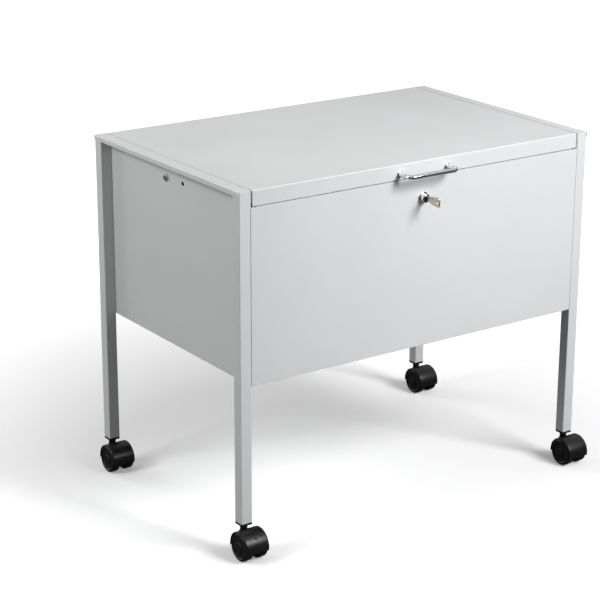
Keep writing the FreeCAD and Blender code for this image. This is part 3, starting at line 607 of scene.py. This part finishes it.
def pressDimple(work, setup, axle):
    angle = math.radians(setup["dimpleAngle"])
    out = Vector((0.0, math.cos(angle), math.sin(angle)))
    middle = axle + out * setup["hoodRadius"]
    for vert in work.verts:
        reach = (vert.co - middle).length / setup["dimpleRadius"]
        if reach < 1.0:
            vert.co -= out * setup["dimpleDepth"] * min(1.0, setup["dimpleWall"] * (1.0 - reach))


def buildLowerWeb(work, setup, axle):
    web = setup["webHalf"] - setup["webInset"]
    hole, rim = setup["axleHole"], setup["webRadius"]
    first, last = setup["hoodEnds"]
    opening = 360.0 + first - last
    steps = setup["webSteps"]
    below = [math.radians(last + opening * step / steps) for step in range(steps + 1)]
    turnOutline(work, [(-web, hole), (-web, rim), (web, rim), (web, hole)], axle, acrossAxis, backAxis, below)


def buildNeck(work, setup, axle, stem, top):
    rise = math.sqrt(setup["hoodRadius"] ** 2 - (stem.y - axle.y) ** 2)
    crown = axle.z + rise - top  # from the neck's top
    neck, edge, flare = setup["neckRadius"], setup["neckEdge"], setup["neckFlare"]
    outline = [(0.0, 0.0), (0.0, neck - edge), (-edge, neck)]
    for step in range(setup["flareSteps"] + 1):
        share = step / setup["flareSteps"]
        spread = flare * (1.0 - math.cos(share * math.pi / 2))
        outline.append((crown + flare * setup["flareReach"] * (1.0 - 2.0 * share), neck + spread))
    root = crown - setup["neckRoot"]
    outline += [(root + edge, neck - setup["neckTaper"]), (root, 0.0)]
    turnSolid(work, outline, Vector((stem.x, stem.y, top)), upAxis, acrossAxis, setup["neckSegments"])


def buildHood(work, setup, corner):
    places = castorPlaces(corner)
    axle = places["axle"]
    outline = hoodOutline(setup, places["outer"])
    turnOutline(work, outline, axle, acrossAxis, backAxis, hoodAngles(setup))
    pressDimple(work, setup, axle)
    buildLowerWeb(work, setup, axle)
    buildNeck(work, setup, axle, places["stem"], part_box("castor_" + corner + "_hood")[1].z)


# castor wheel: a dished face round a raised hub, a round-shouldered tread and a blind axle hole
wheel = {
    "axleHole": 3.1 * mm,
    "axleDepth": 12.0 * mm,
    "hubRadius": 7.6 * mm,
    "hubEdge": 0.6 * mm,
    "hubEdgeRound": 0.2 * mm,
    "hubFoot": 0.4 * mm,  # how far the hub spreads at its foot
    "dishRadius": 18.2 * mm,
    "dishDepth": 1.7 * mm,
    "dishRise": 0.3 * mm,  # the dish is this much shallower at its rim
    "rimFoot": 1.0 * mm,
    "rimEdge": 0.5 * mm,
    "innerDish": 2.2 * mm,
    "innerRim": 0.8 * mm,
    "innerHub": 0.6 * mm,
    "treadRound": 2.4 * mm,
    "softRound": 0.3 * mm,
    "roundSteps": 6,
    "segments": 96,
}


def wheelOutline(setup, width, radius):
    hub, dish, hole = setup["hubRadius"], setup["dishRadius"], setup["axleHole"]
    face, inner, depth = width - setup["dishDepth"], setup["innerDish"], setup["axleDepth"]
    soft, tread = setup["softRound"], setup["treadRound"]
    return roundedOutline([
        (width, 0.0, 0.0),
        (width, hub - setup["hubEdge"], soft),
        (width - setup["hubEdge"], hub, setup["hubEdgeRound"]),
        (face, hub + setup["hubFoot"], soft),
        (face + setup["dishRise"], dish - setup["rimFoot"], soft),
        (width, dish + setup["rimEdge"], soft),
        (width, radius, tread),
        (0.0, radius, tread),
        (0.0, dish, soft),
        (inner, dish - setup["innerRim"], soft),
        (inner, hub + setup["innerHub"], soft),
        (0.0, hub, soft),
        (0.0, hole, soft),
        (depth, hole, soft),
        (depth, 0.0, 0.0),
    ], setup["roundSteps"])


def buildWheel(work, setup, corner, sideX):
    places = castorPlaces(corner)
    along = Vector((sideX, 0.0, 0.0))
    start = places["axle"] + along * places["inner"]
    outline = wheelOutline(setup, places["outer"] - places["inner"], places["wheelRadius"])
    turnSolid(work, outline, start, along, backAxis, setup["segments"])


corners = ("front_left", "front_right", "rear_left", "rear_right")
for corner in corners:
    name = "castorHood_" + corner
    addPiece(name, meshFrom(name, buildHood, castor, corner), "castor_plastic", "castor_" + corner,
             ["castor_" + corner + "_hood"], edge=castor["softEdge"])
    for side, sideX in (("left", -1.0), ("right", 1.0)):
        name = "castorWheel_" + corner + "_" + side
        addPiece(name, meshFrom(name, buildWheel, wheel, corner, sideX), "wheel_plastic",
                 "wheel_" + corner + "_" + side, ["castor_" + corner + "_wheel_" + side])
print("castors built:", len(corners))


# lid handle: round bar bent at its corners, a collar where each end meets the lid
handle = {
    "barRadius": 4.0 * mm,
    "bend": 9.0 * mm,
    "bendSteps": 16,
    "sunk": 0.2 * mm,  # how far each end stops short of the lid, inside its collar
    "collar": 1.5 * mm,
    "collarRadius": 5.6 * mm,
    "collarRound": 0.5 * mm,
    "collarFoot": 0.15 * mm,
    "collarSegments": 48,
    "roundSteps": 5,
    "around": 40,
}


def sweepBar(work, path, radius, around):
    rings = []
    for index, point in enumerate(path):
        before = path[max(index - 1, 0)]
        after = path[min(index + 1, len(path) - 1)]
        side = (after - before).normalized().cross(upAxis).normalized()
        ring = []
        for step in range(around):
            angle = 2 * math.pi * step / around
            ring.append(work.verts.new(point + (side * math.cos(angle) + upAxis * math.sin(angle)) * radius))
        rings.append(ring)
    skinRings(work, rings)


def buildHandle(work, setup):
    low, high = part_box("handle")
    z = (low.z + high.z) / 2
    half = (high.x - low.x) / 2 - setup["collarRadius"]
    barY = low.y + setup["barRadius"]
    endY = high.y - setup["sunk"]
    points = [Vector((x, y, z)) for x, y in ((-half, endY), (-half, barY), (half, barY), (half, endY))]
    path = roundCorners(points, [0.0, setup["bend"], setup["bend"], 0.0], setup["bendSteps"], False)
    sweepBar(work, path, setup["barRadius"], setup["around"])
    thick, outer = setup["collar"], setup["collarRadius"]
    outline = roundedOutline([
        (0.0, 0.0, 0.0),
        (0.0, outer, setup["collarFoot"]),
        (thick, outer, setup["collarRound"]),
        (thick, setup["barRadius"] - setup["sunk"], 0.0),
        (thick, 0.0, 0.0),
    ], setup["roundSteps"])
    for x in (-half, half):
        turnSolid(work, outline, Vector((x, high.y, z)), -backAxis, acrossAxis, setup["collarSegments"])


addPiece("lidHandle", meshFrom("lidHandle", buildHandle, handle), "chrome", "lid", ["handle"])
print("handle built")


# key: flat plate with a bow that widens away from the lock, a hole for a ring and cuts along the blade
keyPlate = {
    "neckHeight": 8.4 * mm,
    "neckLength": 8.5 * mm,
    "neckRound": 1.5 * mm,
    "bowNear": 12.7 * mm,  # height of the bow where it starts to widen
    "bowStart": 4.0 * mm,  # from the neck to there
    "bowStartRound": 4.0 * mm,
    "bowRound": 3.6 * mm,
    "shoulderRound": 0.3 * mm,
    "bladeHeight": 6.5 * mm,
    "tipLength": 2.0 * mm,
    "tipHalf": 0.6 * mm,
    "tipRound": 0.4 * mm,
    "heelRound": 0.2 * mm,  # under the tip, beside the last cut
    "cutFirst": 5.0 * mm,
    "cutPitch": 3.6 * mm,
    "cutWidth": 1.4 * mm,
    "cutSlope": 0.2,  # share of the width that each side of a cut takes
    "cutDepths": (1.6 * mm, 1.3 * mm, 1.6 * mm, 1.3 * mm),
    "roundSteps": 6,
    "ringHole": 2.2 * mm,
    "ringSteps": 40,
    "holeInset": 5.2 * mm,
    "edge": 0.25 * mm,
    "edgeSteps": 3,
    "weld": 0.002 * mm,
}


def keyOutline(setup, low, high, faceY, z):
    half = (high.z - low.z) / 2
    neckY = faceY - setup["neckLength"]
    bowY = neckY - setup["bowStart"]
    blade = setup["bladeHeight"] / 2
    neck = setup["neckHeight"] / 2
    near = setup["bowNear"] / 2
    points, radii = [], []

    def corner(y, up, radius):
        points.append(Vector((y, z + up, 0.0)))
        radii.append(radius)

    corner(low.y, half, setup["bowRound"])
    corner(bowY, near, setup["bowStartRound"])
    corner(neckY, neck, setup["neckRound"])
    corner(faceY, neck, setup["shoulderRound"])
    corner(faceY, blade, 0.0)
    corner(high.y - setup["tipLength"], blade, setup["tipRound"])
    corner(high.y, setup["tipHalf"], setup["tipRound"])
    corner(high.y, -setup["tipHalf"], setup["tipRound"])
    corner(high.y - setup["tipLength"], -blade, setup["heelRound"])
    width, slope = setup["cutWidth"], setup["cutSlope"]
    for step, depth in reversed(list(enumerate(setup["cutDepths"]))):
        start = faceY + setup["cutFirst"] + setup["cutPitch"] * step
        corner(start + width, -blade, 0.0)
        corner(start + width * (1.0 - slope), depth - blade, 0.0)
        corner(start + width * slope, depth - blade, 0.0)
        corner(start, -blade, 0.0)
    corner(faceY, -blade, 0.0)
    corner(faceY, -neck, setup["shoulderRound"])
    corner(neckY, -neck, setup["neckRound"])
    corner(bowY, -near, setup["bowStartRound"])
    corner(low.y, -half, setup["bowRound"])
    return roundCorners(points, radii, setup["roundSteps"], True)


def ringHole(setup, y, z):
    hole = []
    for step in range(setup["ringSteps"]):
        angle = 2 * math.pi * step / setup["ringSteps"]
        out = Vector((math.cos(angle), math.sin(angle), 0.0)) * setup["ringHole"]
        hole.append(Vector((y, z, 0.0)) + out)
    return hole


# a flat curve filled between its loops and given the plate's thickness, as a mesh
def cutPlate(setup, loops, thickness):
    plate = bpy.data.curves.new("keyPlate", "CURVE")
    plate.dimensions = "2D"
    plate.fill_mode = "BOTH"
    plate.bevel_depth = setup["edge"]
    plate.bevel_resolution = setup["edgeSteps"]
    plate.offset = -setup["edge"]
    plate.extrude = thickness / 2 - setup["edge"]
    for loop in loops:
        line = plate.splines.new("POLY")
        line.points.add(len(loop) - 1)
        for point, place in zip(line.points, loop):
            point.co = (place.x, place.y, 0.0, 1.0)
        line.use_cyclic_u = True
    holder = bpy.data.objects.new("keyPlate", plate)
    bpy.context.scene.collection.objects.link(holder)
    mesh = bpy.data.meshes.new_from_object(holder.evaluated_get(bpy.context.evaluated_depsgraph_get()))
    bpy.data.objects.remove(holder)
    bpy.data.curves.remove(plate)
    return mesh


def makeKeyMesh(setup):
    low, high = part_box("key")
    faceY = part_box("lock_plug")[0].y
    z = (low.z + high.z) / 2
    loops = (keyOutline(setup, low, high, faceY, z), ringHole(setup, low.y + setup["holeInset"], z))
    mesh = cutPlate(setup, loops, high.x - low.x)
    middleX = (low.x + high.x) / 2
    for vert in mesh.vertices:
        y, up, across = vert.co
        vert.co = (middleX + across, y, up)
    mesh.materials.clear()
    work = bmesh.new()
    work.from_mesh(mesh)
    bmesh.ops.remove_doubles(work, verts=work.verts, dist=setup["weld"])
    bmesh.ops.recalc_face_normals(work, faces=work.faces)
    work.to_mesh(mesh)
    work.free()
    return mesh


addPiece("key_cut", makeKeyMesh(keyPlate), "key_metal", "key", ["key"])
print("key built")


# floor and light
floorLook = {
    "size": 40.0,
    "nearSize": 3.0,  # the tile under the trolley
    "color": (0.84, 0.84, 0.84, 1.0),
    "mottledColor": (0.855, 0.855, 0.855, 1.0),
    "bounceColor": (0.16, 0.16, 0.165, 1.0),
    "glowNear": 0.15,  # within glowFrom of the trolley's middle
    "glowFar": 1.0,
    "glowFrom": 0.45,
    "glowTo": 1.55,
    "grainDepth": 0.05 * mm,
    "skin": {"Ripple Scale": 60.0, "Grain Scale": 400.0, "Grain Share": 0.3, "Mottle Scale": 1.5},
}


# bright where it is looked at, brighter away from the trolley, duller where it throws light back up
def makeFloorFinish(look):
    finish, tree, shader = startFinish("floorFinish", {"Roughness": 0.75, "Specular IOR Level": 0.1,
                                                       "Emission Strength": 1.0})
    skin = placeGroup(tree, skinRipple, look["skin"])
    color = blended(tree, skin.outputs["Mottle"], look["color"], look["mottledColor"])
    tree.links.new(color, shader.inputs["Base Color"])
    place = addNode(tree, "ShaderNodeTexCoord").outputs["Object"]
    away = addNode(tree, "ShaderNodeVectorMath", {0: place}, operation="LENGTH").outputs["Value"]
    glow = remap(tree, away, look["glowFrom"], look["glowTo"], look["glowNear"], look["glowFar"])
    tree.links.new(glow, shader.inputs["Emission Color"])
    bumped(tree, shader, skin.outputs["Height"], look["grainDepth"])
    duller = addNode(tree, "ShaderNodeBsdfDiffuse", {"Color": look["bounceColor"]})
    seen = addNode(tree, "ShaderNodeLightPath").outputs["Is Camera Ray"]
    mix = addNode(tree, "ShaderNodeMixShader", {0: seen, 1: duller.outputs[0], 2: shader.outputs[0]})
    output = next(node for node in tree.nodes if node.type == "OUTPUT_MATERIAL")
    tree.links.new(mix.outputs[0], output.inputs["Surface"])
    return finish


def buildFloor(work, look):
    half, near = look["size"] / 2, look["nearSize"] / 2
    steps = [-half, -near, near, half]
    grid = [[work.verts.new((x, y, 0.0)) for x in steps] for y in steps]
    for row, above in zip(grid, grid[1:]):
        for index in range(len(steps) - 1):
            work.faces.new((row[index], row[index + 1], above[index + 1], above[index]))


def makeFloor(look):
    mesh = meshFrom("floor", buildFloor, look)
    mesh.materials.append(makeFloorFinish(look))
    floor = bpy.data.objects.new("floor", mesh)
    bpy.context.scene.collection.objects.link(floor)


softBoxes = {
    "keyBox": {"place": (0.8, -2.05, 1.9), "aim": (0.15, -0.15, 0.66), "size": (1.1, 1.1), "spread": 65.0,
               "power": 14.6, "color": (0.985, 0.985, 1.0)},
    "sideBox": {"place": (-2.2, 0.2, 1.7), "aim": (-0.35, 0.1, 0.6), "size": (0.9, 0.9), "spread": 110.0,
                "power": 10.7, "color": (0.99, 1.0, 0.985)},
    "backBox": {"place": (-1.4, 3.0, 1.2), "aim": (0.0, 0.2, 0.4), "size": (1.4, 1.0), "spread": 180.0,
                "power": 30.0, "color": (1.0, 1.0, 1.0)},
}
roomLight = {
    "level": 0.235,
    "color": (0.99, 0.995, 1.0),
    # (height from straight down to straight up, brightness)
    "reflected": ((0.0, 0.30), (0.46, 0.42), (0.52, 0.03), (0.60, 0.05), (0.70, 0.55), (1.0, 0.70)),
}


def makeSoftBox(name, setup):
    data = bpy.data.lights.new(name, "AREA")
    data.shape = "RECTANGLE"
    data.size, data.size_y = setup["size"]
    data.spread = math.radians(setup["spread"])
    data.energy = setup["power"]
    data.color = setup["color"]
    box = bpy.data.objects.new(name, data)
    bpy.context.scene.collection.objects.link(box)
    box.location = setup["place"]
    box.rotation_mode = "QUATERNION"
    box.rotation_quaternion = (Vector(setup["aim"]) - Vector(setup["place"])).to_track_quat("-Z", "Y")


# an even pale room; only its reflections see the dark horizon and the bright ceiling of a studio
def makeRoom(setup):
    world = bpy.data.worlds.new("room")
    bpy.context.scene.world = world
    world.use_nodes = True
    tree = world.node_tree
    tree.nodes.clear()
    output = tree.nodes.new("ShaderNodeOutputWorld")
    direction = addNode(tree, "ShaderNodeTexCoord").outputs["Generated"]
    height = addNode(tree, "ShaderNodeSeparateXYZ", {"Vector": direction}).outputs["Z"]
    ramp = addNode(tree, "ShaderNodeValToRGB", {"Fac": remap(tree, height, -1.0, 1.0, 0.0, 1.0)})
    steps = ramp.color_ramp.elements
    for index, (place, level) in enumerate(setup["reflected"]):
        step = steps[index] if index < 2 else steps.new(place)
        step.position = place
        step.color = (level, level, level, 1.0)
    lightPath = addNode(tree, "ShaderNodeLightPath")
    even = addNode(tree, "ShaderNodeBackground", {"Color": (*setup["color"], 1.0),
                                                  "Strength": setup["level"]})
    cards = addNode(tree, "ShaderNodeBackground", {"Color": ramp.outputs["Color"], "Strength": 1.0})
    white = addNode(tree, "ShaderNodeBackground", {"Color": (1.0, 1.0, 1.0, 1.0), "Strength": 1.0})
    lit = addNode(tree, "ShaderNodeMixShader", {0: lightPath.outputs["Is Glossy Ray"], 1: even.outputs[0],
                                                2: cards.outputs[0]})
    seen = addNode(tree, "ShaderNodeMixShader", {0: lightPath.outputs["Is Camera Ray"], 1: lit.outputs[0],
                                                 2: white.outputs[0]})
    tree.links.new(seen.outputs[0], output.inputs["Surface"])


makeFloor(floorLook)
for name, setup in softBoxes.items():
    makeSoftBox(name, setup)
makeRoom(roomLight)
print("floor and light set")
